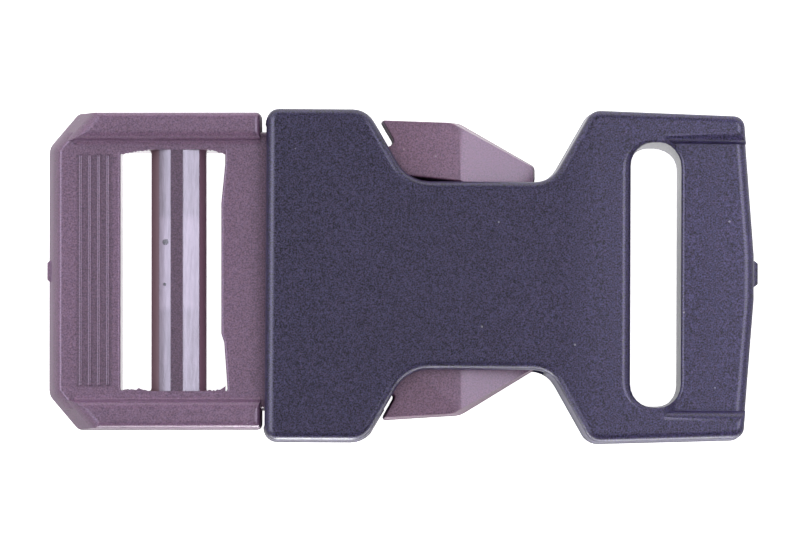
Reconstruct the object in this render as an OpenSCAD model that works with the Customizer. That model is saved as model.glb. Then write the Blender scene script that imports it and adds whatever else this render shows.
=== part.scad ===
// Side release buckle for 25 mm webbing, fastened.
// The plug enters the socket along +X. X runs along the buckle, Y across it and Z up.
// The origin is under the middle of the buckle, on the surface that the socket lies on.

/* [Socket] */
// Thickness over both plates
socket_t = 11.4; // [10:0.1:13]
// Thickness of each plate over the hollow
plate_t = 1.9; // [1.5:0.05:2.1]
// Half the width of the mouth band
mouth_half_w = 17.3; // [16.9:0.05:17.5]
// Place of the mouth's edge along X
mouth_x = -14.4; // [-14.6:0.05:-14]
// Place along X where the mouth band turns in towards the waist
mouth_end_x = -3.8; // [-4.5:0.1:-3]
// Half the width of the waist
waist_half_w = 9.85; // [9:0.05:10.5]
// Place along X where the waist starts
waist_start_x = 0.5; // [0:0.1:1]
// Place along X where the waist ends
waist_end_x = 15.15; // [15:0.05:15.6]
// Half the width of the strap section where it starts
strap_half_w = 17.35; // [17:0.05:17.5]
// Place along X where the strap section reaches its full width
strap_start_x = 19.4; // [19.2:0.1:20]
// Half the width of the strap section over the ends of its rails
rail_end_half_w = 16.85; // [16.4:0.05:17]
// Place along X of the ends of its rails
rail_end_x = 35.45; // [35.2:0.05:36]
// Radius of the edge between the plates and the side walls
socket_edge_r = 0.85; // [0.5:0.05:1]
// Radius of the edge round the mouth
mouth_edge_r = 1; // [0.6:0.05:1.2]
// Thickness that the strap section loses on each side by its end
strap_taper = 0.8; // [0:0.1:1]

/* [Socket webbing slot] */
// Place of the slot's inner wall along X
slot_x0 = 23.6; // [23.2:0.05:24]
// Width of the slot along X
slot_w = 5.2; // [4.6:0.05:5.4]
// Length of the slot across the buckle
slot_l = 27.2; // [26.4:0.1:27.4]
// Place of the slot's middle along Y
slot_y = 0.2; // [0:0.05:0.3]
// Radius of the slot's corners
slot_corner_r = 2.3; // [1.5:0.05:2.5]
// Radius of the slot's edge on the body side, which the webbing rubs on
slot_edge_r = 0.95; // [0.4:0.05:1]
// Width of the rails beside the end bar
end_rail_w = 3.15; // [2.8:0.05:3.4]
// Depth of the end bar's faces below the rails
end_bar_drop = 1.3; // [0.6:0.05:1.6]
// Radius of the rails' inner edges beside the end bar
end_rail_r = 1.1; // [0.6:0.05:1.3]
// Radius of the end bar's outer edges
end_bar_edge_r = 1.1; // [0.5:0.05:1.2]
// Radius of the end bar's edges along the slot
end_bar_slot_r = 0.5; // [0.3:0.05:0.7]

/* [Plug] */
// Half the width over the side rails
plug_half_w = 16.5; // [16.2:0.05:16.7]
// Place of the plug's middle line along Y at the mouth, because it has a little play
plug_y = 0.48; // [0:0.01:0.5]
// Turn of the plug in the mouth, anticlockwise from above, in degrees
plug_turn = 0.4; // [-0.4:0.1:0.4]
// Place of the end bar's outer edge along X
plug_x0 = -36.85; // [-37:0.05:-36.5]
// Length of the cut corners along X
corner_cut_x = 3.05; // [2.5:0.05:3.4]
// Length of the cut corners along Y
corner_cut_y = 3.6; // [3:0.05:4]
// Width of the side rails
rail_w = 3.15; // [2.9:0.05:3.3]
// Thickness over the side rails
rail_t = 9; // [8.2:0.1:9.6]
// Place of the rails' ends along X, just short of the mouth
rail_x1 = -14.72; // [-14.9:0.01:-14.7]
// Radius of the rails' outer edges
rail_edge_r = 0.7; // [0.4:0.05:0.9]
// Radius of the rails' inner edges
rail_inner_r = 1.1; // [0.6:0.05:1.3]
// Thickness of the flat body between the rails, which runs on into the mouth as the neck
body_t = 6.6; // [6:0.1:6.8]
// Half the width of the neck
neck_half_w = 14.5; // [14.2:0.05:14.6]
// Number of grip ribs on each face of the end bar
grip_ribs = 4; // [2:1:5]
// Distance between the grip ribs
grip_pitch = 0.94; // [0.8:0.01:1]
// Height of the grip ribs
grip_h = 0.14; // [0.1:0.01:0.4]
// Width of the hollow fillet along the foot of the side rails
rail_foot_w = 0.62; // [0.3:0.02:0.64]
// Height of that fillet
rail_foot_h = 0.35; // [0.2:0.05:0.5]

/* [Plug webbing slots] */
// Length of both slots across the buckle
ladder_slot_l = 25.1; // [24.8:0.1:25.3]
// Place of the outer slot's outer wall along X
slot1_x0 = -29.35; // [-29.6:0.05:-29]
// Place of the ladder bar's outer side along X
bar_x0 = -26.2; // [-26.5:0.05:-26]
// Place of the ladder bar's inner side along X
bar_x1 = -20.5; // [-20.7:0.05:-20.3]
// Place of the inner slot's inner wall along X
slot2_x1 = -18.9; // [-19:0.05:-18.6]
// Depth of the foot of the ladder bar's flanks below its crest
bar_flank_drop = 0.5; // [0.3:0.05:0.8]
// Depth of the ladder bar's edges below its crest
bar_edge_drop = 1.6; // [1:0.05:2]

/* [Spring arms] */
// Thickness of the arms and their heads
head_t = 6.6; // [6:0.1:6.8]
// Half the width over the heads' outer corners
head_half_w = 15.65; // [15.4:0.05:15.8]
// Place of the heads' outer corners along X
head_x0 = -2.35; // [-2.4:0.05:-2.2]
// Place along X where the heads start to slope in to their tips
head_slope_x = 5.9; // [5.5:0.05:6.3]
// Half the width over the heads where they start to slope in
head_slope_half_w = 15.25; // [15:0.05:15.4]
// Place of the heads' tips along X
head_x1 = 13.75; // [13.4:0.05:13.9]
// Thickness of the heads at their tips
tip_t = 2.2; // [1.6:0.1:3]
// Turn of the arm at +Y about its root, outwards, in degrees
arm_turn_left = 0.7; // [-1:0.1:1]
// Turn of the arm at -Y about its root, outwards, in degrees
arm_turn_right = -0.7; // [-1:0.1:1]

/* [Hidden] */

// Largest turn between two points of a rounded corner, in degrees: on a wide corner and on a small one
arc_step = 15;
small_arc_step = 45;
small_r = 0.5;
// How far a side wall leans in from the parting line to the face, on the whole height
draft = 0.14;
// How far the flash at the parting line stands out, and half its height
flash_out = 0.05;
flash_half_h = 0.1;
// Depths below a face at which a rounded edge has a ring of points
edge_depths = [0, 0.04, 0.16, 0.36, 0.62, 0.9, 1.2];
// Length by which a cutter passes what it cuts
over = 1;

// Socket, worked out
socket_half_t = socket_t / 2;
hollow_half_t = socket_half_t - plate_t;
// Radius of the corners at the mouth, at the ends of the rails and along the side outline
mouth_corner_r = 1.4;
mouth_end_r = 2.7;
waist_start_r = 3.75;
waist_end_r = 2.75;
strap_start_r = 1.7;
rail_end_r = 1.3;
// The end bar bows out to this place along X, in a long curve
bow_x = 36.75;
bow_r = 30;
slot_x1 = slot_x0 + slot_w;
// The strap section thins out from here on
taper_x = waist_end_x + 2;
taper_slope = strap_taper / (rail_end_x - taper_x);
taper_half_w = waist_half_w + (strap_half_w - waist_half_w) * (taper_x - waist_end_x) / (strap_start_x - waist_end_x);
// Half the width of the hollow where the neck goes in, and where the arms pass
hollow_half_w = 15.3;
hollow_arm_half_w = 13.9;
hollow_step_x = -10.4;
// Walls between the guide tongue and the arms
guide_y0 = 3.9;
guide_y1 = 5.1;
guide_x0 = -1;
// End of the hollow towards the strap section
hollow_x1 = 14.9;
shoulder_slope = (mouth_half_w - waist_half_w) / (waist_start_x - mouth_end_x);

// Plug, worked out
plug_pivot_x = mouth_x;
rail_half_t = rail_t / 2;
body_half_t = body_t / 2;
head_half_t = head_t / 2;
rail_y0 = plug_half_w - rail_w;
nose_y = plug_half_w - corner_cut_y;
corner_slope = corner_cut_x / corner_cut_y;
// The plug's outer end leans in by this much for each millimetre above nose_z
nose_lean = 0.567;
nose_z = 1.45;
nose_crease_r = 0.4;
rail_crease_r = 0.9;
rail_end_edge_r = 0.6;
neck_edge_r = 0.4;
neck_x1 = -10.9;
slot_wall_r = 0.25;
tongue_half_w = 3;
tongue_half_t = 2.6;
tongue_x1 = 9;
// Faces of the ladder bar along X: edge, foot of the outer flank, crest, foot of the inner flank
bar_flank0_x = bar_x0 + 0.85;
bar_crest_x0 = bar_x0 + 2.05;
bar_crest_x1 = bar_x0 + 3.3;
bar_flank1_x = bar_x1 - 0.7;
bar_crest_r = 0.12;
// Inner edge of the inner slot: [distance that the edge steps back, place along Y]
neck_edge = [[0.65, -12.55], [0.55, -11], [0.3, -7.5], [0, -6.6], [0, 7], [0.4, 11], [0.4, 12.55]];
arm_y0 = 10.2;
arm_y1 = 12.9;
arm_root = [neck_x1, 11.6];
head_side_lean = 0.35;
head_edge_r = 0.2;
head_heel_x = 12.2;
head_heel_y = 8.1;
tip_y0 = 9;
tip_y1 = 10.6;
grip_x0 = -33.5;
grip_half_l = 11.85;

// Gate marks, where the plastic entered each mould
plug_gate = [-37.1, 0, 2.2, 1.6];
socket_gate = [37.1, 0.5, 2.7, 1.8];

// Place of corner c, without its radius
function place(c) = [c.x, c.y];

// Unit vector from a to b
function heading(a, b) = (place(b) - place(a)) / norm(place(b) - place(a));

// Left-hand normal of a direction, which points into an outline that runs counter-clockwise
function left_of(u) = [-u.y, u.x];

// Item i of a list that closes on itself
function ring_item(list, i) = list[(i + len(list)) % len(list)];

// Signed turn between two directions, in degrees
function turn(u, v) = atan2(u.x * v.y - u.y * v.x, u * v);

// Vector v turned by angle a
function turned(v, a) = [v.x * cos(a) - v.y * sin(a), v.x * sin(a) + v.y * cos(a)];

// Corner i after the edges before and after it move in by their own distances
function moved_corner(corners, insets, i) =
    let (
        u = heading(ring_item(corners, i - 1), corners[i]),
        v = heading(corners[i], ring_item(corners, i + 1)),
        before = ring_item(insets, i - 1),
        after = insets[i],
        k = u * v
    )
    place(corners[i]) + ((before - k * after) * left_of(u) + (after - k * before) * left_of(v)) / (1 - k * k);

// Points of corner i, rounded, after the edges have moved in. A corner of radius 0 stays sharp.
function corner_arc(corners, insets, i) =
    let (
        u = heading(ring_item(corners, i - 1), corners[i]),
        v = heading(corners[i], ring_item(corners, i + 1)),
        angle = turn(u, v),
        side = sign(angle),
        steps = max(1, ceil(abs(angle) / (corners[i][2] < small_r ? small_arc_step : arc_step))),
        inset = (ring_item(insets, i - 1) + insets[i]) / 2,
        r = max(0.03, corners[i][2] - side * inset),
        start = moved_corner(corners, insets, i) - u * r * tan(abs(angle) / 2),
        centre = start + side * r * left_of(u)
    )
    corners[i][2] == 0
        ? [moved_corner(corners, insets, i)]
        : [for (j = [0 : steps]) centre - side * r * turned(left_of(u), angle * j / steps)];

// Whole rounded outline after the edges have moved in
function outline(corners, insets) =
    [for (i = [0 : len(corners) - 1]) each corner_arc(corners, insets, i)];

// How far a side wall lies inside its outline at a depth below the face.
// profile = [edge radius, width of the bevel, height of the bevel]
function profile_inset(profile, depth) =
    let (
        r = profile[0],
        slope = atan2(profile[2], profile[1]),
        tangent = r * tan(slope / 2)
    )
    depth < tangent * sin(slope)
        ? profile[1] + tangent - sqrt(max(0, r * r - (r - depth) * (r - depth)))
        : profile[1] * max(0, 1 - depth / profile[2]);

// The same for a wall that also leans in by the draft, from the parting line to the face.
// A profile of 0 stands for a plain cut, which stays where it is.
function wall_inset(profile, depth, half_t) =
    profile == 0 ? 0 : profile_inset(profile, depth) + draft * (1 - depth / half_t);

// Height z of the flat buckle at x, after the strap section has thinned out
function thinned_z(x, z) = z * (1 - taper_slope * max(0, x - taper_x) / socket_half_t);

// A plate with rounded edges, the same above and below the parting line at z = 0.
// corners = [[x, y, radius], ...], counter-clockwise; edges = one profile for the edge after each corner
module plate(corners, edges, half_t, depths = edge_depths) {
    upper = [
        for (d = [for (d = depths) if (d < half_t - 2 * flash_half_h) d])
            [half_t - d, [for (e = edges) wall_inset(e, d, half_t)]]
    ];
    near = [for (e = edges) wall_inset(e, half_t - flash_half_h, half_t)];
    middle = [for (e = edges) e == 0 ? 0 : -flash_out];
    levels = concat(
        [for (l = upper) [-l[0], l[1]]],
        [[-flash_half_h, near], [0, middle], [flash_half_h, near]],
        [for (i = [len(upper) - 1 : -1 : 0]) upper[i]]
    );
    stack([for (l = levels) [for (p = outline(corners, l[1])) [p.x, p.y, thinned_z(p.x, l[0])]]]);
}

// A closed solid through rings of points, from the bottom up, each ring counter-clockwise from above
module stack(rings) {
    n = len(rings[0]);
    m = len(rings);
    polyhedron(
        points = [for (ring = rings) each ring],
        faces = concat(
            [[for (i = [0 : n - 1]) i]],
            [[for (i = [n - 1 : -1 : 0]) (m - 1) * n + i]],
            [
                for (j = [0 : m - 2], i = [0 : n - 1])
                    let (a = j * n + i, b = j * n + (i + 1) % n)
                    each [[a, a + n, b + n], [a, b + n, b]]
            ]
        )
    );
}

// Cutter for the upper half of a through slot, which opens out in a rounded edge at the face.
// walls = [edge radius, lean up to the face] for the wall after each corner
module half_slot_cutter(corners, walls, half_t, depths = edge_depths) {
    levels = concat(
        [for (z = [-over, 0]) [z, [for (w = walls) 0]]],
        [
            for (i = [len(depths) - 1 : -1 : 0])
                let (d = depths[i])
                    [half_t - d, [for (w = walls) -profile_inset([w[0], 0, 1], d) - w[1] * (1 - d / half_t)]]
        ],
        [[half_t + over, [for (w = walls) -w[0] - w[1]]]]
    );
    stack([for (l = levels) [for (p = outline(corners, l[1])) [p.x, p.y, l[0]]]]);
}

// Corners of a rectangle with one radius
function box_corners(x0, x1, y0, y1, r) = [[x0, y0, r], [x1, y0, r], [x1, y1, r], [x0, y1, r]];

// The children, and the same mirrored across the middle line
module both_sides() {
    children();
    mirror([0, 1, 0]) children();
}

// The children, and the same mirrored from the upper face to the lower
module both_faces() {
    children();
    mirror([0, 0, 1]) children();
}

// Mark of the moulding's gate: gate = [end along X, place along Y, width, height], from the wall at x0
module gate_mark(gate, x0) {
    step = gate.x > 0 ? 0.02 : -0.02;
    hull() {
        translate([x0, gate.y, 0]) cube([0.4, gate[2], gate[3]], center = true);
        translate([gate.x - step, gate.y, 0]) cube([0.04, gate[2] * 0.8, gate[3] * 0.75], center = true);
    }
}

// Half outline of the socket from the mouth to the waist's end: [x, y, radius]
body_side = [
    [mouth_x, mouth_half_w, mouth_corner_r],
    [mouth_end_x, mouth_half_w, mouth_end_r],
    [waist_start_x, waist_half_w, waist_start_r],
    [waist_end_x, waist_half_w, waist_end_r],
    [taper_x, taper_half_w, 0]
];
// Half outline of the strap section
strap_side = [
    [taper_x, taper_half_w, 0],
    [strap_start_x, strap_half_w, strap_start_r],
    [rail_end_x, rail_end_half_w, rail_end_r]
];

// A half outline and its mirror image, counter-clockwise, with the points of tip between their ends
function whole(side, tip = []) = concat(
    [for (c = side) [c.x, -c.y, c[2]]],
    tip,
    [for (i = [len(side) - 1 : -1 : 0]) side[i]]
);

// Outer form of the socket, with no hollow
module socket_shell() {
    side = [socket_edge_r, 0, 1];
    mouth = [mouth_edge_r, 0, 1];
    body = whole(body_side);
    strap = whole(strap_side, [[bow_x, 0, bow_r]]);
    plate(
        body,
        [for (i = [1 : len(body)]) i == len(body) ? mouth : i == len(body_side) ? 0 : side],
        socket_half_t
    );
    plate(strap, [for (i = [1 : len(strap)]) i == len(strap) ? 0 : side], socket_half_t);
}

// Space inside the socket, open at the mouth and at both sides of the waist
module socket_hollow() {
    hollow_h = 2 * hollow_half_t;
    shoulder_y = 20;
    shoulder_x = mouth_end_x - (shoulder_y - mouth_half_w) / shoulder_slope;
    inner_x = mouth_end_x + (mouth_half_w - hollow_arm_half_w) / shoulder_slope;
    translate([0, 0, -hollow_half_t])
        linear_extrude(hollow_h) {
            polygon([
                [mouth_x - over, -hollow_half_w], [hollow_step_x, -hollow_half_w],
                [hollow_step_x + 1.2, -hollow_arm_half_w], [inner_x, -hollow_arm_half_w],
                [shoulder_x, -shoulder_y], [hollow_x1, -shoulder_y],
                [hollow_x1, shoulder_y], [shoulder_x, shoulder_y],
                [inner_x, hollow_arm_half_w], [hollow_step_x + 1.2, hollow_arm_half_w],
                [hollow_step_x, hollow_half_w], [mouth_x - over, hollow_half_w]
            ]);
        }
    mouth_lead_in();
}

// Small bevel inside the mouth, which leads the plug in
module mouth_lead_in() {
    lead = 0.5;
    half_w = hollow_half_w + 0.06;
    hull()
        for (side = [-1, 1])
            translate([mouth_x + mouth_edge_r * 0.35 + side * lead, 0, 0])
                cube([0.02, 2 * (half_w - side * lead), 2 * (hollow_half_t - side * lead)], center = true);
}

// Walls inside the socket beside the guide tongue
module guide_walls() {
    both_sides()
        hull() {
            translate([guide_x0, guide_y0, -hollow_half_t - 0.1])
                cube([hollow_x1 - guide_x0 + 0.1, guide_y1 - guide_y0, 2 * hollow_half_t + 0.2]);
            translate([guide_x0, (guide_y0 + guide_y1) / 2, 0])
                cylinder(h = 2 * hollow_half_t + 0.2, d = guide_y1 - guide_y0, center = true, $fn = 16);
        }
}

// The children, lowered to follow the face of the thinning strap section, above and below
module along_taper() {
    both_faces()
        multmatrix([[1, 0, 0, 0], [0, 1, 0, 0], [-taper_slope, 0, 1, taper_slope * taper_x], [0, 0, 0, 1]])
            children();
}

// What is cut from one face of the strap section between its rails, whose inner edges are rounded.
// It starts in a slope at the end of the slot.
module between_end_rails() {
    foot_y = rail_end_half_w - end_rail_w + 0.17;
    bottom_z = socket_half_t - end_bar_drop - 1;
    top_z = socket_half_t + over;
    round_y = foot_y + end_rail_r;
    round_z = socket_half_t - end_rail_r;
    start_x = slot_x1 - 1.8;
    edge = concat(
        [for (a = [0 : 22.5 : 67.5]) [round_y - end_rail_r * cos(a), round_z + end_rail_r * sin(a)]],
        [[round_y + 0.1, socket_half_t + 0.02]]
    );
    strips = concat(
        [[[-foot_y, bottom_z], [foot_y, bottom_z], [foot_y, top_z], [-foot_y, top_z]]],
        [
            for (i = [0 : len(edge) - 2], side = [-1, 1])
                let (a = edge[i], b = edge[i + 1])
                    [[side * a.x, a.y], [side * b.x, b.y], [side * b.x, top_z], [side * a.x, top_z]]
        ]
    );
    multmatrix([[1, 0, -1, start_x + socket_half_t], [0, 1, 0, 0], [0, 0, 1, 0], [0, 0, 0, 1]])
        for (strip = strips)
            hull()
                rotate([90, 0, 90]) linear_extrude(bow_x + 3 - start_x) polygon(strip);
}

// The end bar as it stays between its rails, with its rounded edges. Its outline reaches into the rails.
module end_bar() {
    half_l = slot_l / 2;
    clear = 0.1;
    stand_out = 0.05;
    in_x = slot_x1 - slot_corner_r - 1;
    in_y = rail_end_half_w - 1.4;
    out_x = rail_end_x + (rail_end_half_w - in_y) * (bow_x - rail_end_x) / rail_end_half_w + stand_out;
    notch_x = slot_x1 - clear;
    notch_y = [slot_y - half_l + clear, slot_y + half_l - clear];
    notch_r = slot_corner_r - clear;
    outer = [end_bar_edge_r, 0, 1];
    inner = [end_bar_slot_r, 0, 1];
    plate(
        [
            [in_x, -in_y, 0], [out_x, -in_y, 0], [bow_x + stand_out, 0, bow_r], [out_x, in_y, 0],
            [in_x, in_y, 0], [in_x, notch_y[1], 0], [notch_x, notch_y[1], notch_r],
            [notch_x, notch_y[0], notch_r], [in_x, notch_y[0], 0]
        ],
        [0, outer, outer, 0, 0, inner, inner, inner, 0],
        socket_half_t - end_bar_drop
    );
}

// The slot that the webbing passes through, upper half
module strap_slot() {
    half_l = slot_l / 2;
    half_slot_cutter(
        box_corners(slot_x0, slot_x1, slot_y - half_l, slot_y + half_l, slot_corner_r),
        [[0.45, 0.2], [0.4, 0.1], [0.25, 0.1], [slot_edge_r, 0.05]],
        socket_half_t
    );
}

module socket() {
    color([0.26, 0.25, 0.34])
        translate([0, 0, socket_half_t]) {
            difference() {
                socket_shell();
                difference() {
                    socket_hollow();
                    guide_walls();
                }
                difference() {
                    along_taper() between_end_rails();
                    end_bar();
                }
                along_taper() strap_slot();
            }
            gate_mark(socket_gate, bow_x - 0.2);
        }
}

// Profile of an edge that leans in from nose_z up to the face at half_t
function nose_profile(half_t, crease_r) = [crease_r, nose_lean * (half_t - nose_z), half_t - nose_z];

// Flat body of the plug, from the end bar to the end of the neck
module plug_body() {
    neck_cut_x = plug_x0 + (neck_half_w - nose_y) * corner_slope;
    nose = nose_profile(body_half_t, nose_crease_r);
    side = [neck_edge_r, 0, 1];
    plate(
        [
            [plug_x0, -nose_y, 1.4], [neck_cut_x, -neck_half_w, 0.1], [neck_x1, -neck_half_w, 0.6],
            [neck_x1, neck_half_w, 0.6], [neck_cut_x, neck_half_w, 0.1], [plug_x0, nose_y, 1.4]
        ],
        [nose, side, side, side, nose, nose],
        body_half_t
    );
}

// One side rail, at +Y
module side_rail() {
    foot_x = plug_x0 - (nose_y - rail_y0) * corner_slope;
    plate(
        [
            [foot_x, rail_y0, 0.1], [rail_x1, rail_y0, 0.1],
            [rail_x1, plug_half_w, 0.45], [plug_x0 + corner_cut_x, plug_half_w, 0.9]
        ],
        [
            [rail_inner_r, 0, 1], [rail_end_edge_r, 0, 1],
            [rail_edge_r, 0, 1], nose_profile(rail_half_t, rail_crease_r)
        ],
        rail_half_t
    );
}

// Hollow fillets along the foot of the side rail at +Y, on both faces
module rail_foot_fillets() {
    wall_y = rail_y0 + 0.12;
    x0 = plug_x0 + 2.7;
    both_faces()
        translate([x0, 0, 0])
            rotate([90, 0, 90])
                linear_extrude(rail_x1 - 0.15 - x0)
                    polygon(concat(
                        [[wall_y + 0.3, body_half_t - 0.2], [wall_y + 0.3, body_half_t + rail_foot_h]],
                        [
                            for (a = [90 : -22.5 : 22.5])
                                [wall_y - rail_foot_w * (1 - sin(a)), body_half_t + rail_foot_h * (1 - cos(a))]
                        ],
                        [[wall_y - rail_foot_w - 0.1, body_half_t - 0.012], [wall_y - rail_foot_w, body_half_t - 0.2]]
                    ));
}

// Thin raised ribs on both faces of the end bar
module grip_rib_rows() {
    rib_r = 0.24;
    both_faces()
        for (i = [0 : grip_ribs - 1])
            hull()
                for (y = [-grip_half_l, grip_half_l])
                    translate([grip_x0 + i * grip_pitch, y, body_half_t + grip_h - rib_r])
                        sphere(r = rib_r, $fn = 12);
}

// What is cut from the body to leave the ladder bar's sloping flanks
module bar_flank_cuts() {
    foot_z = body_half_t - bar_flank_drop;
    edge_z = body_half_t - bar_edge_drop;
    top_z = body_half_t + over;
    both_faces()
        rotate([90, 0, 0])
            linear_extrude(ladder_slot_l, center = true)
                for (side = [[bar_x0, bar_flank0_x, bar_crest_x0], [bar_x1, bar_flank1_x, bar_crest_x1]])
                    let (out = sign(side[0] - side[2]), slope = (foot_z - edge_z) / abs(side[0] - side[1]))
                        polygon([
                            [side[0] + out * over, edge_z - over * slope], [side[1], foot_z],
                            [side[2] + out * bar_crest_r, body_half_t - bar_crest_r],
                            [side[2] - out * bar_crest_r, body_half_t + 0.02],
                            [side[2] - out * bar_crest_r, top_z], [side[0] + out * over, top_z]
                        ]);
}

// The two webbing slots of the plug
module ladder_slots() {
    half_l = ladder_slot_l / 2;
    depths = [0, 0.03, 0.12, 0.25];
    outer = box_corners(slot1_x0, bar_x0, -half_l, half_l, 0.3);
    inner = concat(
        [[bar_x1, half_l, 0.2], [bar_x1, -half_l, 0.2]],
        [for (p = neck_edge) [slot2_x1 + p[0], p[1], 0.2]]
    );
    both_faces()
        for (corners = [outer, inner])
            half_slot_cutter(corners, [for (c = corners) [slot_wall_r, 0]], body_half_t, depths);
}

// One spring arm with its barbed head, at +Y
module spring_arm() {
    barb = (head_half_w - arm_y1) / shoulder_slope;
    edge = [head_edge_r, 0, 1];
    lean_edge = [head_edge_r, head_side_lean, head_half_t];
    difference() {
        plate(
            [
                [neck_x1 - 0.5, arm_y0, 0.1], [0, arm_y0 - 0.6, 4],
                [head_heel_x, head_heel_y, 0.8], [head_x1, tip_y0, 0.6],
                [head_x1, tip_y1, 0.6], [head_slope_x, head_slope_half_w, 1.8],
                [head_x0, head_half_w, 0.25], [head_x0 + barb, arm_y1, 0.4],
                [neck_x1 - 0.5, arm_y1, 0.1]
            ],
            [edge, edge, edge, lean_edge, lean_edge, edge, edge, edge, edge],
            head_half_t
        );
        tip_wedge_cuts();
    }
}

// What is cut from a head's faces to make it a wedge towards its tip
module tip_wedge_cuts() {
    slope = (head_half_t - tip_t / 2) / (head_x1 - head_slope_x);
    both_faces()
        rotate([90, 0, 0])
            linear_extrude(60, center = true)
                polygon([
                    [head_slope_x - over, head_half_t + over * slope],
                    [head_x1 + over, tip_t / 2 - over * slope],
                    [head_x1 + over, head_half_t + over]
                ]);
}

// The arm of spring_arm() turned outwards about its root
module turned_arm(angle) {
    translate([arm_root.x, arm_root.y, 0])
        rotate(angle)
            translate([-arm_root.x, -arm_root.y, 0])
                spring_arm();
}

// Guide tongue between the arms
module guide_tongue() {
    edge = [0.5, 0, 1];
    plate(
        box_corners(neck_x1 - 0.5, tongue_x1, -tongue_half_w, tongue_half_w, 1.2),
        [edge, edge, edge, edge],
        tongue_half_t
    );
}

module plug() {
    color([0.49, 0.4, 0.49])
        translate([plug_pivot_x, plug_y, socket_half_t]) rotate(plug_turn) translate([-plug_pivot_x, 0, 0]) {
            difference() {
                union() {
                    plug_body();
                    grip_rib_rows();
                }
                ladder_slots();
                bar_flank_cuts();
            }
            both_sides() {
                side_rail();
                rail_foot_fillets();
            }
            turned_arm(arm_turn_left);
            mirror([0, 1, 0]) turned_arm(arm_turn_right);
            guide_tongue();
            gate_mark(plug_gate, plug_x0 + 0.2);
        }
}

plug();
socket();
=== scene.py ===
"""Side release buckle for 25 mm webbing, fastened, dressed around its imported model.

The buckle is two mouldings: a plum grey plug with a ladder lock bar, and a dark slate socket
that it is latched in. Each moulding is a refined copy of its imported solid, and the thin film
of plastic in the corners of the plug's slots is modelled beside them.
X runs along the buckle towards the socket, Y across the webbing and Z up.
"""

import logging
import math
import random
from dataclasses import dataclass
from enum import Enum

import bpy
from mathutils import Matrix, Vector


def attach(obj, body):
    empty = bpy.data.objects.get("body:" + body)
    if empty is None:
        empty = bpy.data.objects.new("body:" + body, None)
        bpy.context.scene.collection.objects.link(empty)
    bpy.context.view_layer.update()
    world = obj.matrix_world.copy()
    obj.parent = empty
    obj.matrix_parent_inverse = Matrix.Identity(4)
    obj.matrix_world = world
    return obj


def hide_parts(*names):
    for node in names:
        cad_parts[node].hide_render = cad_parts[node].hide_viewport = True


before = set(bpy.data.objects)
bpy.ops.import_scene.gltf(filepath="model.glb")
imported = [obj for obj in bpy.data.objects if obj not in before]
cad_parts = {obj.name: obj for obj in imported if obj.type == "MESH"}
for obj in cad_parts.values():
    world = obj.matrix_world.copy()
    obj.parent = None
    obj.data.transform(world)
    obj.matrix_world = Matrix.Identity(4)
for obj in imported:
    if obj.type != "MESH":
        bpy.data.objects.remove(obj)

MM = 0.001
ROOT = "root"
IMAGE_WIDTH = 800

VALUE = "NodeSocketFloat"
VECTOR = "NodeSocketVector"

Color = tuple[float, float, float]
Span = tuple[float, float]
Socket = bpy.types.NodeSocket
Input = Socket | float | int | tuple

log = logging.getLogger("buckle")


def metres(*lengths_mm: float) -> tuple[float, ...]:
    """Turns lengths in millimetres into metres."""
    return tuple(length * MM for length in lengths_mm)


def opaque(color: Input) -> Input:
    """Gives a plain colour its alpha; a socket stays as it is."""
    return (*color, 1.0) if isinstance(color, tuple) and len(color) == 3 else color


class Blend(Enum):
    """How a mix node joins its two colours."""

    MIX = "MIX"
    MULTIPLY = "MULTIPLY"


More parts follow.
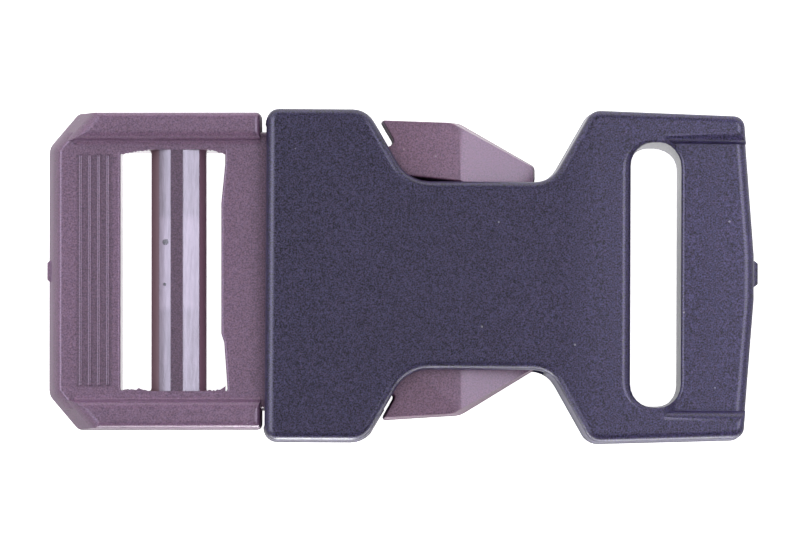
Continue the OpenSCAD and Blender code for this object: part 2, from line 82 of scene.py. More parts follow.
class Graph:
    """A node tree that is built one named step at a time."""

    def __init__(self, tree: bpy.types.NodeTree) -> None:
        """Takes the tree that the nodes go into.

        Args:
            tree: a material's, world's or group's node tree.
        """
        self.tree = tree

    def node(
        self, kind: str, inputs: dict[str | int, Input] | None = None, **settings: object
    ) -> bpy.types.Node:
        """Adds a node, sets its properties and fills its inputs.

        Args:
            kind: the type name of the node.
            inputs: a value or a socket for each input, by its name or its place.
            settings: properties of the node, which are set first.

        Returns:
            The new node.
        """
        made = self.tree.nodes.new(kind)
        for name, value in settings.items():
            setattr(made, name, value)
        self.fill(made, inputs or {})
        return made

    def fill(self, node: bpy.types.Node, inputs: dict[str | int, Input]) -> None:
        """Fills a node's inputs.

        Args:
            node: the node.
            inputs: a value or a socket for each input, by its name or its place.
        """
        for key, value in inputs.items():
            if isinstance(value, bpy.types.NodeSocket):
                self.tree.links.new(value, node.inputs[key])
            else:
                node.inputs[key].default_value = value

    def math(self, operation: str, a: Input, b: Input = 0.0, clamp: bool = False) -> Socket:
        """Joins two numbers.

        Args:
            operation: the name of the sum, such as ADD.
            a: first number.
            b: second number.
            clamp: keeps the result from 0 to 1.

        Returns:
            The result's socket.
        """
        settings = {"operation": operation, "use_clamp": clamp}
        return self.node("ShaderNodeMath", {0: a, 1: b}, **settings).outputs[0]

    def total(self, first: Input, *others: Input) -> Socket:
        """Adds numbers.

        Args:
            first: the first number.
            others: one number or more.

        Returns:
            The sum's socket.
        """
        for other in others:
            first = self.math("ADD", first, other)
        return first

    def product(self, first: Input, *others: Input) -> Socket:
        """Multiplies numbers.

        Args:
            first: the first number.
            others: one number or more.

        Returns:
            The product's socket.
        """
        for other in others:
            first = self.math("MULTIPLY", first, other)
        return first

    def swing(self, value: Socket, strength: Input) -> Socket:
        """Turns a value from 0 to 1 into a tone around 1.

        Args:
            value: the value.
            strength: how far the tone swings over the value's whole range.

        Returns:
            The tone's socket.
        """
        return self.total(self.product(self.math("SUBTRACT", value, 0.5), strength), 1.0)

    def ramp(self, value: Input, span: Span, ends: Span = (0.0, 1.0)) -> Socket:
        """Runs smoothly from one number to another as a value rises.

        Args:
            value: what the ramp follows.
            span: the values where the ramp starts and ends.
            ends: the results there and beyond.

        Returns:
            The result's socket.
        """
        inputs = {
            "Value": value,
            "From Min": span[0],
            "From Max": span[1],
            "To Min": ends[0],
            "To Max": ends[1],
        }
        made = self.node("ShaderNodeMapRange", inputs, interpolation_type="SMOOTHSTEP")
        return made.outputs["Result"]

    def band(self, value: Input, span: Span, blur: float) -> Socket:
        """Mask that is 1 between two values and 0 outside them.

        Args:
            value: what the mask follows.
            span: where the band starts and ends.
            blur: width of its two soft edges.

        Returns:
            The mask's socket.
        """
        low, high = span
        half = blur / 2
        rise = self.ramp(value, (low - half, low + half))
        fall = self.ramp(value, (high - half, high + half), (1.0, 0.0))
        return self.product(rise, fall)

    def mix(self, share: Input, first: Input, second: Input, blend: Blend = Blend.MIX) -> Socket:
        """Mixes two colours.

        Args:
            share: how much of the second colour shows.
            first: first colour.
            second: second colour.
            blend: how they join.

        Returns:
            The colour's socket.
        """
        inputs = {0: share, 6: opaque(first), 7: opaque(second)}
        made = self.node("ShaderNodeMix", inputs, data_type="RGBA", blend_type=blend.value)
        return made.outputs[2]

    def mix_values(self, share: Input, first: Input, second: Input) -> Socket:
        """Mixes two numbers.

        Args:
            share: how much of the second number counts.
            first: first number.
            second: second number.

        Returns:
            The number's socket.
        """
        inputs = {0: share, 2: first, 3: second}
        return self.node("ShaderNodeMix", inputs, data_type="FLOAT").outputs[0]

    def tone(self, color: Input, level: Socket | float) -> Socket:
        """Multiplies a colour by a grey level.

        Args:
            color: the colour.
            level: the level, 1 for no change.

        Returns:
            The colour's socket.
        """
        grey = (level,) * 3 if isinstance(level, float) else level
        return self.mix(1.0, color, grey, Blend.MULTIPLY)

    def noise(
        self, vector: Input, scale: Input, detail: float = 2.0, roughness: float = 0.5
    ) -> Socket:
        """Smooth random value from 0 to 1.

        Args:
            vector: place that the value belongs to.
            scale: number of features in a metre.
            detail: number of finer layers.
            roughness: weight of the finer layers.

        Returns:
            The value's socket.
        """
        inputs = {"Vector": vector, "Scale": scale, "Detail": detail, "Roughness": roughness}
        return self.node("ShaderNodeTexNoise", inputs).outputs["Fac"]


def new_group(
    name: str, inputs: dict[str, str], outputs: dict[str, str]
) -> tuple[Graph, dict[str, Socket], bpy.types.Node]:
    """Starts a shader node group that several materials share.

    Args:
        name: name of the group.
        inputs: the socket type for each input's name.
        outputs: the socket type for each output's name.

    Returns:
        The graph inside it, the sockets of its inputs, and its output node.
    """
    tree = bpy.data.node_groups.new(name, "ShaderNodeTree")
    for direction, sockets in (("INPUT", inputs), ("OUTPUT", outputs)):
        for label, kind in sockets.items():
            tree.interface.new_socket(name=label, in_out=direction, socket_type=kind)
    graph = Graph(tree)
    start = graph.node("NodeGroupInput")
    return graph, {label: start.outputs[label] for label in inputs}, graph.node("NodeGroupOutput")


@dataclass(frozen=True)
class SharedEffects:
    """Node groups that both plastics use."""

    grain: bpy.types.NodeTree
    patches: bpy.types.NodeTree
    flecks: bpy.types.NodeTree

    @classmethod
    def build(cls) -> "SharedEffects":
        """Builds each group once."""
        return cls(cls.grain_group(), cls.patches_group(), cls.flecks_group())

    @staticmethod
    def grain_group() -> bpy.types.NodeTree:
        """Fine texture of a spark eroded mould.

        Returns:
            A group with the outputs Tone, around 1, Warmth, around 0, and Height, from 0 to 1.
        """
        fine_share, coarse_share, coarse_scale = 0.93, 0.07, 0.31
        warmth_scale, warmth_shift = 0.6, (0.37, 0.11, 0.23)
        graph, given, end = new_group(
            "moulded_grain",
            {"Vector": VECTOR, "Scale": VALUE, "Strength": VALUE},
            {"Tone": VALUE, "Warmth": VALUE, "Height": VALUE},
        )
        place, scale = given["Vector"], given["Scale"]
        fine = graph.noise(place, scale, detail=1.0)
        coarse = graph.noise(place, graph.product(scale, coarse_scale), detail=1.0)
        height = graph.total(
            graph.product(fine, fine_share), graph.product(coarse, coarse_share)
        )
        shifted = graph.node("ShaderNodeVectorMath", {0: place, 1: warmth_shift}, operation="ADD")
        warmth = graph.noise(
            shifted.outputs[0], graph.product(scale, warmth_scale), roughness=0.6
        )
        graph.fill(
            end,
            {
                "Tone": graph.swing(height, given["Strength"]),
                "Warmth": graph.math("SUBTRACT", warmth, 0.5),
                "Height": height,
            },
        )
        return graph.tree

    @staticmethod
    def patches_group() -> bpy.types.NodeTree:
        """Slow change of tone over a face, as flow in the mould and handling leave it.

        Returns:
            A group with the output Tone, around 1.
        """
        graph, given, end = new_group(
            "tone_patches", {"Vector": VECTOR, "Scale": VALUE, "Strength": VALUE}, {"Tone": VALUE}
        )
        value = graph.noise(given["Vector"], given["Scale"], detail=3.0, roughness=0.55)
        graph.fill(end, {"Tone": graph.swing(value, given["Strength"])})
        return graph.tree

    @staticmethod
    def flecks_group() -> bpy.types.NodeTree:
        """Scattered small flecks of dust and nicks.

        Returns:
            A group with the output Mask, 1 on a fleck.
        """
        graph, given, end = new_group(
            "flecks",
            {"Vector": VECTOR, "Scale": VALUE, "Size": VALUE, "Share": VALUE},
            {"Mask": VALUE},
        )
        inputs = {"Vector": given["Vector"], "Scale": given["Scale"]}
        cells = graph.node("ShaderNodeTexVoronoi", inputs)
        near = graph.math("LESS_THAN", cells.outputs["Distance"], given["Size"])
        pick = graph.node("ShaderNodeSeparateColor", {0: cells.outputs["Color"]}).outputs[0]
        chosen = graph.math("LESS_THAN", pick, given["Share"])
        graph.fill(end, {"Mask": graph.product(near, chosen)})
        return graph.tree


@dataclass
class Surface:
    """What a finish works out for its shader."""

    color: Socket
    roughness: Socket
    height: Socket


@dataclass(frozen=True)
class MouldedPlastic:
    """Injection moulded plastic with a fine grain."""

    name: str
    cool: Color
    warm: Color
    hue_swing: float = 2.2
    roughness: float = 0.36
    smoother: float = 0.05
    rougher: float = 0.07
    grain_mm: float = 0.16
    grain_tone: float = 1.9
    grain_depth_mm: float = 0.009
    patch_mm: float = 14.0
    patch_tone: float = 0.25
    flecks_per_m: float = 620.0
    fleck_size: float = 0.075
    fleck_share: float = 0.1
    fleck_strength: float = 0.22
    fleck_color: Color = (0.5, 0.48, 0.55)
    ior: float = 1.5
    specular: float = 0.5

    def place(self, graph: Graph) -> Socket:
        """Place of a point on the piece, in metres."""
        return graph.node("ShaderNodeTexCoord").outputs["Object"]

    def surface(self, graph: Graph, effects: SharedEffects) -> Surface:
        """Colour, roughness and relief of the plain moulded face.

        Args:
            graph: the material's graph.
            effects: the shared node groups.

        Returns:
            The sockets that feed the shader.
        """
        place = self.place(graph)
        grain = graph.node(
            "ShaderNodeGroup",
            {"Vector": place, "Scale": 1 / (self.grain_mm * MM), "Strength": self.grain_tone},
            node_tree=effects.grain,
        ).outputs
        patches = graph.node(
            "ShaderNodeGroup",
            {"Vector": place, "Scale": 1 / (self.patch_mm * MM), "Strength": self.patch_tone},
            node_tree=effects.patches,
        ).outputs
        flecks = graph.node(
            "ShaderNodeGroup",
            {
                "Vector": place,
                "Scale": self.flecks_per_m,
                "Size": self.fleck_size,
                "Share": self.fleck_share,
            },
            node_tree=effects.flecks,
        ).outputs
        hue = graph.math("ADD", graph.product(grain["Warmth"], self.hue_swing), 0.5, clamp=True)
        color = graph.mix(hue, self.cool, self.warm)
        color = graph.tone(color, patches["Tone"])
        color = graph.tone(color, grain["Tone"])
        fleck = graph.product(flecks["Mask"], self.fleck_strength)
        color = graph.mix(fleck, color, self.fleck_color)
        ends = (self.roughness - self.smoother, self.roughness + self.rougher)
        rough = graph.ramp(grain["Height"], (0.2, 0.8), ends)
        return Surface(color, rough, grain["Height"])

    def material(self, effects: SharedEffects) -> bpy.types.Material:
        """Builds the material.

        Args:
            effects: the shared node groups.

        Returns:
            The material.
        """
        made = bpy.data.materials.new(self.name)
        made.use_nodes = True
        made.node_tree.nodes.clear()
        graph = Graph(made.node_tree)
        surface = self.surface(graph, effects)
        relief = graph.node(
            "ShaderNodeBump",
            {"Strength": 1.0, "Distance": self.grain_depth_mm * MM, "Height": surface.height},
        )
        shader = graph.node(
            "ShaderNodeBsdfPrincipled",
            {
                "Base Color": surface.color,
                "Roughness": surface.roughness,
                "Normal": relief.outputs["Normal"],
                "IOR": self.ior,
                "Specular IOR Level": self.specular,
            },
        )
        graph.node("ShaderNodeOutputMaterial", {"Surface": shader.outputs["BSDF"]})
        return made


@dataclass(frozen=True)
class SocketPlastic(MouldedPlastic):
    """The socket's plastic, a little lighter towards its strap end."""

    grain_tone: float = 5.0
    specular: float = 0.42
    fade_mm: Span = (3.0, 36.0)
    fade_tone: float = 1.38

    def surface(self, graph: Graph, effects: SharedEffects) -> Surface:
        """The plain face with its slow fade along the buckle.

        Args:
            graph: the material's graph.
            effects: the shared node groups.

        Returns:
            The sockets that feed the shader.
        """
        plain = super().surface(graph, effects)
        along = graph.node("ShaderNodeSeparateXYZ", {0: self.place(graph)}).outputs["X"]
        fade = graph.ramp(along, metres(*self.fade_mm), (1.0, self.fade_tone))
        return Surface(graph.tone(plain.color, fade), plain.roughness, plain.height)


@dataclass(frozen=True)
class PlugSeat:
    """How the plug sits in the socket's mouth, with its little play taken up."""

    mouth_x_mm: float = -14.4
    off_middle_mm: float = 0.48
    turn_deg: float = 0.4
    slot_half_l_mm: float = 12.55

    def carry(self, height_mm: float) -> Matrix:
        """Matrix that takes a mesh drawn square along the plug to its place on the buckle.

        Args:
            height_mm: how far the mesh is lifted.

        Returns:
            The matrix, in metres.
        """
        seat = Matrix.Translation(metres(self.mouth_x_mm, self.off_middle_mm, height_mm))
        turn = Matrix.Rotation(math.radians(self.turn_deg), 4, "Z")
        return seat @ turn @ Matrix.Translation(metres(-self.mouth_x_mm, 0.0, 0.0))


@dataclass(frozen=True)
class Ledge:
    """A ledge beside the ladder bar, in the colour that it has in the slot's shade."""

    span_mm: Span
    color: Color


@dataclass(frozen=True)
class Stain:
    """A small dark stain on the ladder bar."""

    x_mm: float
    y_mm: float
    radius_mm: float


@dataclass(frozen=True)
class PlugPlace:
    """Place of a point on the plug, with its small turn in the mouth taken out."""

    along: Socket
    across: Socket
    beside_slots: Socket


@dataclass(frozen=True)
class PlugPlastic(MouldedPlastic):
    """The plug's plastic, with the ladder bar's flanks glossy from the webbing and painted pale as
    a sheen, and painted shade on the ladder bar, the end bar's ribs and the plug from the mouth
    onwards.
    """

    seat: PlugSeat = PlugSeat()
    bar_mm: Span = (-26.3, -20.4)
    # painted shade: the ladder bar between the slots is darker, as in their shade
    bar_shade_tone: float = 0.62
    bar_blur_mm: float = 0.1
    ribs_mm: Span = (-33.95, -30.2)
    ribs_half_l_mm: float = 12.1
    # painted shade: the ribbed patch on the end bar is darker, for the shade between its ribs
    rib_shade_tone: float = 0.73
    rib_blur_mm: float = 0.3
    # painted shade: the plug is darker from the socket's mouth onwards, where the socket shades it
    mouth_shade_mm: Span = (-16.3, -14.5)
    mouth_shade_tone: float = 0.74
    head_mm: Span = (-8.0, -3.0)
    head_tint: Color = (0.94, 0.85, 0.83)
    ledges: tuple[Ledge, ...] = (
        Ledge((-26.4, -25.4), (0.16, 0.09, 0.11)),
        Ledge((-21.15, -20.3), (0.25, 0.13, 0.19)),
    )
    ledge_blur_mm: float = 0.15
    flanks_mm: tuple[Span, ...] = ((-25.35, -24.15), (-22.9, -21.2))
    flank_blur_mm: float = 0.08
    # the flanks' pale colour is partly a painted sheen; their low roughness is real
    polished_sheen_color: Color = (0.24, 0.2, 0.27)
    polished_roughness: float = 0.22
    streaks_per_m: float = 2600.0
    streak_stretch: tuple[float, float, float] = (1.0, 0.12, 1.0)
    streak_tones: Span = (0.75, 1.12)
    pale_middle_mm: Span = (-4.0, 5.5)
    pale_middle_blur_mm: float = 1.2
    pale_middle_lift: float = 0.3
    stains: tuple[Stain, ...] = (Stain(-24.75, 2.95, 0.42), Stain(-24.8, -1.45, 0.24))
    stain_color: Color = (0.015, 0.01, 0.015)
    stain_ragged_per_m: float = 3200.0
    stain_ragged_share: float = 0.9
    stain_fade: float = 1.35

    def from_mouth(self, *x_mm: float) -> tuple[float, ...]:
        """Distances from the mouth, in metres, of places along the buckle in millimetres."""
        return tuple((x - self.seat.mouth_x_mm) * MM for x in x_mm)

    def own_place(self, graph: Graph) -> PlugPlace:
        """Place along and across the plug.

        Args:
            graph: the material's graph.

        Returns:
            The place, with X measured from the mouth, and the mask of the slots' length.
        """
        inputs = {
            "Vector": self.place(graph),
            "Location": metres(self.seat.mouth_x_mm, self.seat.off_middle_mm, 0.0),
            "Rotation": (0.0, 0.0, math.radians(self.seat.turn_deg)),
        }
        mapped = graph.node("ShaderNodeMapping", inputs, vector_type="TEXTURE").outputs[0]
        parts = graph.node("ShaderNodeSeparateXYZ", {0: mapped}).outputs
        slots = metres(-self.seat.slot_half_l_mm, self.seat.slot_half_l_mm)
        beside_slots = graph.band(parts["Y"], slots, self.bar_blur_mm * MM)
        return PlugPlace(parts["X"], parts["Y"], beside_slots)

    def surface(self, graph: Graph, effects: SharedEffects) -> Surface:
        """The plain face with painted shade, the ladder bar's glossy flanks with their painted
        sheen, and the stains.

        Args:
            graph: the material's graph.
            effects: the shared node groups.

        Returns:
            The sockets that feed the shader.
        """
        plain = super().surface(graph, effects)
        place = self.own_place(graph)
        color = self.toned(graph, plain.color, place)
        # the flanks' colour: glossy plastic with a painted sheen
        polish_and_sheen = self.flank_polish_and_sheen(graph, place)
        rough = plain.roughness
        for span in self.flanks_mm:
            flank = graph.band(place.along, self.from_mouth(*span), self.flank_blur_mm * MM)
            flank = graph.product(flank, place.beside_slots)
            color = graph.mix(flank, color, polish_and_sheen)
            rough = graph.mix_values(flank, rough, self.polished_roughness)
        for stain in self.stains:
            color = graph.mix(self.stain_mask(graph, place, stain), color, self.stain_color)
        return Surface(color, rough, plain.height)

    def toned(self, graph: Graph, color: Socket, place: PlugPlace) -> Socket:
        """The plain colour with painted shade on the ladder bar, its ledges, the end bar's ribs
        and from the mouth onwards, and the heads' tint.

        Args:
            graph: the material's graph.
            color: the plain colour.
            place: place on the plug.

        Returns:
            The colour's socket.
        """
        # painted shade over the ladder bar between the slots
        bar = graph.band(place.along, self.from_mouth(*self.bar_mm), self.bar_blur_mm * MM)
        bar = graph.product(bar, place.beside_slots)
        color = graph.mix(bar, color, graph.tone(color, self.bar_shade_tone))
        # painted shade over the end bar's ribbed patch
        blur = self.rib_blur_mm * MM
        rows = metres(-self.ribs_half_l_mm, self.ribs_half_l_mm)
        ribs = graph.product(
            graph.band(place.along, self.from_mouth(*self.ribs_mm), blur),
            graph.band(place.across, rows, blur),
        )
        color = graph.mix(ribs, color, graph.tone(color, self.rib_shade_tone))
        # painted shade, darker from the socket's mouth onwards
        mouth_shade = graph.ramp(place.along, self.from_mouth(*self.mouth_shade_mm), (1.0, self.mouth_shade_tone))
        color = graph.tone(color, mouth_shade)
        head = graph.ramp(place.along, self.from_mouth(*self.head_mm))
        # the heads drop the painted mouth shade and take the head tint instead
        unshaded = graph.tone(color, 1 / self.mouth_shade_tone)
        color = graph.mix(head, color, graph.mix(1.0, unshaded, self.head_tint, Blend.MULTIPLY))
        for ledge in self.ledges:
            span = self.from_mouth(*ledge.span_mm)
            mask = graph.band(place.along, span, self.ledge_blur_mm * MM)
            color = graph.mix(graph.product(mask, place.beside_slots), color, ledge.color)
        return color

    def flank_polish_and_sheen(self, graph: Graph, place: PlugPlace) -> Socket:
        """Colour of the ladder bar's flanks: a painted sheen, streaked across and palest towards
        the middle.

        Args:
            graph: the material's graph.
            place: place on the plug.

        Returns:
            The colour's socket.
        """
        stretch = {"Vector": self.place(graph), "Scale": self.streak_stretch}
        stretched = graph.node("ShaderNodeMapping", stretch).outputs[0]
        streaks = graph.noise(stretched, self.streaks_per_m, detail=3.0, roughness=0.6)
        # painted sheen, paler towards the middle of the flanks
        pale_middle = graph.band(place.across, metres(*self.pale_middle_mm), self.pale_middle_blur_mm * MM)
        level = graph.total(
            graph.ramp(streaks, (0.25, 0.75), self.streak_tones),
            graph.product(pale_middle, self.pale_middle_lift),
        )
        return graph.tone(self.polished_sheen_color, level)

    def stain_mask(self, graph: Graph, place: PlugPlace, stain: Stain) -> Socket:
        """Mask of one small ragged stain.

        Args:
            graph: the material's graph.
            place: place on the plug.
            stain: the stain.

        Returns:
            The mask's socket.
        """
        radius = stain.radius_mm * MM
        dx = graph.math("SUBTRACT", place.along, self.from_mouth(stain.x_mm)[0])
        dy = graph.math("SUBTRACT", place.across, stain.y_mm * MM)
        distance = graph.math("SQRT", graph.total(graph.product(dx, dx), graph.product(dy, dy)))
        ragged = graph.noise(self.place(graph), self.stain_ragged_per_m)
        reach = graph.total(distance, graph.product(ragged, radius * self.stain_ragged_share))
        return graph.ramp(reach, (radius, radius * self.stain_fade), (1.0, 0.0))


def select_only(piece: bpy.types.Object) -> None:
    """Deselects everything else and makes the piece active."""
    bpy.ops.object.select_all(action="DESELECT")
    piece.select_set(True)
    bpy.context.view_layer.objects.active = piece


def apply_modifiers(piece: bpy.types.Object) -> None:
    """Applies the piece's modifiers in order."""
    select_only(piece)
    for name in [modifier.name for modifier in piece.modifiers]:
        bpy.ops.object.modifier_apply(modifier=name)


@dataclass
class Moulding:
    """One moulding of the buckle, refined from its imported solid."""

    node: str
    finish: MouldedPlastic
    merge_mm: float = 0.004
    flat_deg: float = 0.4
    smooth_deg: float = 33.0
    bevel_deg: float = 52.0
    bevel_mm: float = 0.06
    bevel_segments: int = 2
    normal_weight: int = 60

    def build(self, effects: SharedEffects) -> bpy.types.Object:
        """Makes the visible piece and hides the solid it stands for.

        Args:
            effects: the shared node groups.

        Returns:
            The finished piece.
        """
        piece = self.merged_copy()
        self.soften(piece)
        piece.data.materials.clear()
        piece.data.materials.append(self.finish.material(effects))
        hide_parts(self.node)
        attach(piece, ROOT)
        return piece

    def merged_copy(self) -> bpy.types.Object:
        """A copy of the solid's mesh with its loose triangles joined and its flat faces whole."""
        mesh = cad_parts[self.node].data.copy()
        piece = bpy.data.objects.new(f"{self.node}_moulding", mesh)
        bpy.context.scene.collection.objects.link(piece)
        select_only(piece)
        bpy.ops.mesh.customdata_custom_splitnormals_clear()
        bpy.ops.object.mode_set(mode="EDIT")
        bpy.ops.mesh.select_all(action="SELECT")
        bpy.ops.mesh.mark_sharp(clear=True)
        bpy.ops.mesh.remove_doubles(threshold=self.merge_mm * MM)
        bpy.ops.mesh.dissolve_limited(angle_limit=math.radians(self.flat_deg))
        bpy.ops.object.mode_set(mode="OBJECT")
        return piece

    def soften(self, piece: bpy.types.Object) -> None:
        """Rounds the last sharp edges and shades the faces evenly.

        Args:
            piece: the merged copy.
        """
        bevel = piece.modifiers.new("edges", "BEVEL")
        bevel.width = self.bevel_mm * MM
        bevel.segments = self.bevel_segments
        bevel.limit_method = "ANGLE"
        bevel.angle_limit = math.radians(self.bevel_deg)
        bevel.use_clamp_overlap = True
        bevel.miter_outer = "MITER_ARC"
        apply_modifiers(piece)
        bpy.ops.object.shade_smooth_by_angle(angle=math.radians(self.smooth_deg))
        weighted = piece.modifiers.new("normals", "WEIGHTED_NORMAL")
        weighted.keep_sharp = True
        weighted.weight = self.normal_weight
        apply_modifiers(piece)


class SlotEnd(Enum):
    """The two ends of a slot, by the sign of their Y."""

    FAR = 1
    NEAR = -1


@dataclass(frozen=True)
class TornEdge:
    """Film along one end of a slot, by how far it stands into the slot from span start to end."""

    span_mm: Span
    end: SlotEnd
    reach_mm: tuple[float, ...]

    def reach(self, share: float) -> float:
        """How far the film stands out, in millimetres.

        Args:
            share: place along the edge, from 0 to 1.

        Returns:
            The reach there, between the given ones.
        """
        at = share * (len(self.reach_mm) - 1)
        low = min(int(at), len(self.reach_mm) - 2)
        return self.reach_mm[low] + (self.reach_mm[low + 1] - self.reach_mm[low]) * (at - low)


@dataclass
class SlotFilm:
    """Thin torn film that the mould left in the ends of the plug's slots."""

    seat: PlugSeat = PlugSeat()
    film_z_mm: float = 8.93
    film_t_mm: float = 0.08
    root_mm: float = 0.24
    overlap_mm: float = 0.05
    least_mm: float = 0.02
    torn_mm: float = 0.09
    torn_from: float = 0.9
    wave_mm: float = 0.02
    step_mm: float = 0.16
    least_cuts: int = 4
    rows: int = 3
    smooth_deg: float = 40.0
    seed: int = 7
    edges: tuple[TornEdge, ...] = (
        TornEdge((-29.35, -26.2), SlotEnd.FAR, (0.5, 0.34, 0.3, 0.14, 0.08, 0.05)),
        TornEdge((-20.5, -18.5), SlotEnd.FAR, (0.05, 0.08, 0.16, 0.36, 0.55)),
        TornEdge((-29.35, -26.2), SlotEnd.NEAR, (0.1, 0.2, 0.12, 0.3, 0.08, 0.05)),
        TornEdge((-20.5, -18.5), SlotEnd.NEAR, (0.05, 0.12, 0.08, 0.25, 0.5)),
    )

    def build(self, material: bpy.types.Material) -> bpy.types.Object:
        """Models every strip of film and joins them into one piece.

        Args:
            material: the plug's material.

        Returns:
            The finished piece.
        """
        draw = random.Random(self.seed)
        made = [self.strip(draw, edge) for edge in self.edges]
        select_only(made[0])
        for other in made[1:]:
            other.select_set(True)
        bpy.ops.object.join()
        piece = bpy.context.view_layer.objects.active
        piece.name = "plug_slot_film"
        piece.data.transform(self.seat.carry(self.film_z_mm))
        piece.data.materials.clear()
        piece.data.materials.append(material)
        select_only(piece)
        bpy.ops.object.shade_smooth_by_angle(angle=math.radians(self.smooth_deg))
        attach(piece, ROOT)
        return piece

    def strip(self, draw: random.Random, edge: TornEdge) -> bpy.types.Object:
        """One strip of film along the end of a slot.

        Args:
            draw: the seeded random numbers.
            edge: where the strip lies and how far it stands out.

        Returns:
            The strip, with its place in its mesh.
        """
        start, length = edge.span_mm[0], edge.span_mm[1] - edge.span_mm[0]
        side = edge.end.value
        wall = side * (self.seat.slot_half_l_mm + self.root_mm)
        cuts = max(self.least_cuts, round(length / self.step_mm))
        bpy.ops.object.select_all(action="DESELECT")
        bpy.ops.mesh.primitive_grid_add(x_subdivisions=cuts, y_subdivisions=self.rows, size=1.0)
        piece = bpy.context.view_layer.objects.active
        for vertex in piece.data.vertices:
            along = vertex.co.x + 0.5
            depth = vertex.co.y + 0.5
            torn = draw.uniform(-self.torn_mm, self.torn_mm) if depth > self.torn_from else 0.0
            stands = self.root_mm + max(self.least_mm, edge.reach(along) + torn)
            x = start - self.overlap_mm + (length + 2 * self.overlap_mm) * along
            y = wall - side * stands * depth
            z = draw.uniform(-self.wave_mm, self.wave_mm) * depth
            vertex.co = metres(x, y, z)
        select_only(piece)
        bpy.ops.object.mode_set(mode="EDIT")
        bpy.ops.mesh.select_all(action="SELECT")
        bpy.ops.mesh.normals_make_consistent(inside=False)
        bpy.ops.object.mode_set(mode="OBJECT")
        thick = piece.modifiers.new("thickness", "SOLIDIFY")
        thick.thickness = self.film_t_mm * MM
        thick.offset = 0.0
        apply_modifiers(piece)
        return piece


@dataclass
class Buckle:
    """The fastened buckle: plug, socket, and the film in the plug's slots."""

    plug_finish: PlugPlastic = PlugPlastic(
        "plum_plastic", cool=(0.142, 0.079, 0.157), warm=(0.161, 0.081, 0.141)
    )
    socket_finish: SocketPlastic = SocketPlastic(
        "slate_plastic", cool=(0.017, 0.0157, 0.056), warm=(0.0247, 0.0147, 0.048)
    )

    def build(self) -> list[bpy.types.Object]:
        """Builds and dresses every piece.

        Returns:
            The pieces, in the order that they are made in.
        """
        effects = SharedEffects.build()
        plug = Moulding("plug", self.plug_finish).build(effects)
        socket = Moulding("socket", self.socket_finish).build(effects)
        film = SlotFilm().build(plug.data.materials[0])
        return [plug, socket, film]


@dataclass
class SoftLight:
    """A rectangular soft light that faces the buckle."""

    name: str
    azimuth_deg: float
    elevation_deg: float
    distance_m: float
    width_m: float
    height_m: float
    radiance: float
    color: Color = (1.0, 1.0, 1.0)
    lights_faces: bool = True
    mirrored: bool = True

    def build(self) -> bpy.types.Object:
        """Places the light. Azimuth runs anticlockwise from +X."""
        data = bpy.data.lights.new(self.name, "AREA")
        data.shape = "RECTANGLE"
        data.size = self.width_m
        data.size_y = self.height_m
        data.energy = self.radiance * math.pi * self.width_m * self.height_m
        data.color = self.color
        light = bpy.data.objects.new(self.name, data)
        bpy.context.scene.collection.objects.link(light)
        azimuth, elevation = math.radians(self.azimuth_deg), math.radians(self.elevation_deg)
        level = math.cos(elevation)
        away = Vector((math.cos(azimuth) * level, math.sin(azimuth) * level, math.sin(elevation)))
        light.location = away * self.distance_m
        light.rotation_mode = "QUATERNION"
        light.rotation_quaternion = away.to_track_quat("Z", "Y")
        light.visible_camera = False
        light.visible_diffuse = self.lights_faces
        light.visible_glossy = self.mirrored
        return light


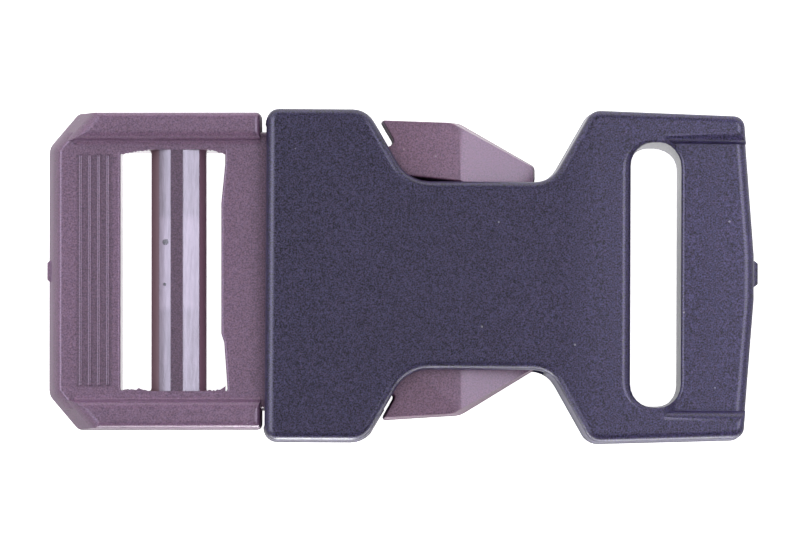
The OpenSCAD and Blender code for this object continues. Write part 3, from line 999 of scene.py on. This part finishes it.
@dataclass
class Table:
    """The white table. It glows in reflections only, brightly in places: painted reflections, as a
    white sheet beside it would give, in front of the buckle and under its slots.
    """

    size_m: float = 8.0
    color: Color = (0.9, 0.9, 0.9)
    glow: float = 0.95
    sheen_mm: Span = (0.0, 15.0)
    sheens: Span = (0.25, 1.0)
    reflected_glow_mm: Span = (-40.0, -29.0)
    reflected_glow_blur_mm: float = 3.0
    # painted reflections: strips of the table in front of the buckle that glow in reflections only
    reflected_glow_strips: tuple[tuple[Span, float], ...] = (
        ((-36.0, -15.5), 12.0),
        ((-15.5, -1.5), 28.0),
        ((-1.5, 16.5), 3.0),
        ((16.5, 60.0), 11.0),
    )
    opening_blur_mm: float = 0.5
    openings: tuple[tuple[Span, float, float], ...] = (
        ((-29.9, -17.9), 13.6, 1.7),
        ((22.9, 29.6), 14.6, 0.5),
    )
    dim_mm: Span = (-39.0, -31.0)
    dim_tone: float = 0.15

    def build(self) -> bpy.types.Object:
        """Adds the table."""
        bpy.ops.object.select_all(action="DESELECT")
        bpy.ops.mesh.primitive_plane_add(size=self.size_m, location=(0.0, 0.0, 0.0))
        table = bpy.context.view_layer.objects.active
        table.name = "table"
        table.data.materials.append(self.material())
        return table

    def material(self) -> bpy.types.Material:
        """White, with a small glow of its own that hides the buckle's shadow from the camera."""
        made = bpy.data.materials.new("white_table")
        made.use_nodes = True
        made.node_tree.nodes.clear()
        graph = Graph(made.node_tree)
        diffuse = graph.node("ShaderNodeBsdfDiffuse", {"Color": opaque(self.color)})
        path = graph.node("ShaderNodeLightPath").outputs
        seen = graph.product(path["Is Camera Ray"], self.glow)
        mirrored = graph.product(path["Is Glossy Ray"], self.mirrored_level(graph))
        glow = graph.node("ShaderNodeEmission", {"Strength": graph.total(seen, mirrored)})
        both = graph.node("ShaderNodeAddShader", {0: diffuse.outputs[0], 1: glow.outputs[0]})
        graph.node("ShaderNodeOutputMaterial", {"Surface": both.outputs[0]})
        return made

    def mirrored_level(self, graph: Graph) -> Socket:
        """How bright the table is in reflections.

        Args:
            graph: the table material's graph.

        Returns:
            The level's socket.
        """
        coordinates = graph.node("ShaderNodeTexCoord").outputs["Object"]
        place = graph.node("ShaderNodeSeparateXYZ", {0: coordinates}).outputs
        x, y = place["X"], place["Y"]
        level = graph.ramp(y, metres(*self.sheen_mm), self.sheens)
        # painted reflections in front of the buckle
        reflected_glow_fade = graph.ramp(y, metres(*self.reflected_glow_mm), (1.0, 0.0))
        for span, glow in self.reflected_glow_strips:
            strip = graph.band(x, metres(*span), self.reflected_glow_blur_mm * MM)
            level = graph.total(level, graph.product(strip, reflected_glow_fade, glow))
        blur = self.opening_blur_mm * MM
        # painted reflections: the table glows in reflections inside the slot openings
        for span, half, sheen in self.openings:
            inside = graph.product(
                graph.band(x, metres(*span), blur), graph.band(y, metres(-half, half), blur)
            )
            level = graph.total(level, graph.product(inside, sheen))
        dim = graph.ramp(x, metres(*self.dim_mm), (self.dim_tone, 1.0))
        return graph.product(level, dim)


@dataclass
class Sky:
    """A dim room that is darkest straight up and white where the camera sees it.

    Heights and the place towards the back are parts of the viewing direction, from -1 to 1.
    """

    heights: Span = (0.2, 0.98)
    horizon: float = 1.3
    zenith: float = 0.12
    back_lift: float = 0.6
    back_strip: float = 2.6
    back_strip_y: Span = (0.5, 0.8)
    back_strip_heights: Span = (0.2, 0.45)
    front_strip: float = 4.0
    front_strip_y: Span = (-0.75, -0.45)
    front_strip_heights: Span = (0.1, 0.3)
    seen: float = 1.2

    def build(self) -> bpy.types.World:
        """Builds the world and puts it in the scene."""
        world = bpy.data.worlds.new("room")
        bpy.context.scene.world = world
        world.use_nodes = True
        world.node_tree.nodes.clear()
        graph = Graph(world.node_tree)
        direction = graph.node("ShaderNodeTexCoord").outputs["Generated"]
        way = graph.node("ShaderNodeSeparateXYZ", {0: direction}).outputs
        path = graph.node("ShaderNodeLightPath").outputs
        room = graph.ramp(way["Z"], self.heights, (self.horizon, self.zenith))
        room = graph.product(room, graph.total(graph.product(way["Y"], self.back_lift), 1.0))
        back = graph.product(
            graph.ramp(way["Y"], self.back_strip_y),
            graph.ramp(way["Z"], self.back_strip_heights, (self.back_strip, 0.0)),
        )
        front = graph.product(
            graph.ramp(way["Y"], self.front_strip_y, (1.0, 0.0)),
            graph.ramp(way["Z"], self.front_strip_heights, (self.front_strip, 0.0)),
        )
        strips = graph.product(graph.total(back, front), path["Is Glossy Ray"])
        level = graph.mix_values(path["Is Camera Ray"], graph.total(room, strips), self.seen)
        background = graph.node("ShaderNodeBackground", {"Strength": level})
        graph.node("ShaderNodeOutputWorld", {"Surface": background.outputs[0]})
        return world


@dataclass
class Studio:
    """White table, soft lights, and the camera straight above the buckle."""

    camera_mm: tuple[float, float, float] = (-7.57, -22.21, 543.06)
    camera_turn_deg: tuple[float, float, float] = (2.482, -0.775, 0.349)
    focal_px: float = 5145.8
    sensor_mm: float = 36.0
    clip_m: Span = (0.05, 50.0)
    lights: tuple[SoftLight, ...] = (
        SoftLight(
            "left_box", 180.0, 46.0, 0.8, 0.75, 0.52, 6.3, (0.95, 0.95, 1.16), lights_faces=False
        ),
        SoftLight(
            "right_box", 12.0, 57.0, 0.8, 0.38, 0.38, 9.5, (0.98, 0.97, 1.16), lights_faces=False
        ),
        SoftLight("overhead", 200.0, 86.0, 0.9, 1.3, 0.8, 2.3, mirrored=False),
    )

    def build(self) -> None:
        """Builds the table, the sky, the lights and the camera."""
        Table().build()
        Sky().build()
        for light in self.lights:
            light.build()
        self.camera()
        bpy.context.scene.view_settings.view_transform = "Standard"

    def camera(self) -> bpy.types.Object:
        """The camera straight above the buckle, with a long lens."""
        data = bpy.data.cameras.new("camera")
        data.sensor_width = self.sensor_mm
        data.lens = self.focal_px / IMAGE_WIDTH * self.sensor_mm
        data.clip_start, data.clip_end = self.clip_m
        camera = bpy.data.objects.new("camera", data)
        bpy.context.scene.collection.objects.link(camera)
        place = Matrix.Translation(metres(*self.camera_mm))
        for degrees, axis in zip(self.camera_turn_deg, "XYZ"):
            place = place @ Matrix.Rotation(math.radians(degrees), 4, axis)
        camera.matrix_world = place
        bpy.context.scene.camera = camera
        return camera


def main() -> None:
    """Builds the dressed buckle and the studio round it."""
    logging.basicConfig(level=logging.INFO, format="%(name)s: %(message)s")
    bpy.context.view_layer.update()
    for piece in Buckle().build():
        log.info("%s: %d faces", piece.name, len(piece.data.polygons))
    Studio().build()


if __name__ == "__main__":
    main()
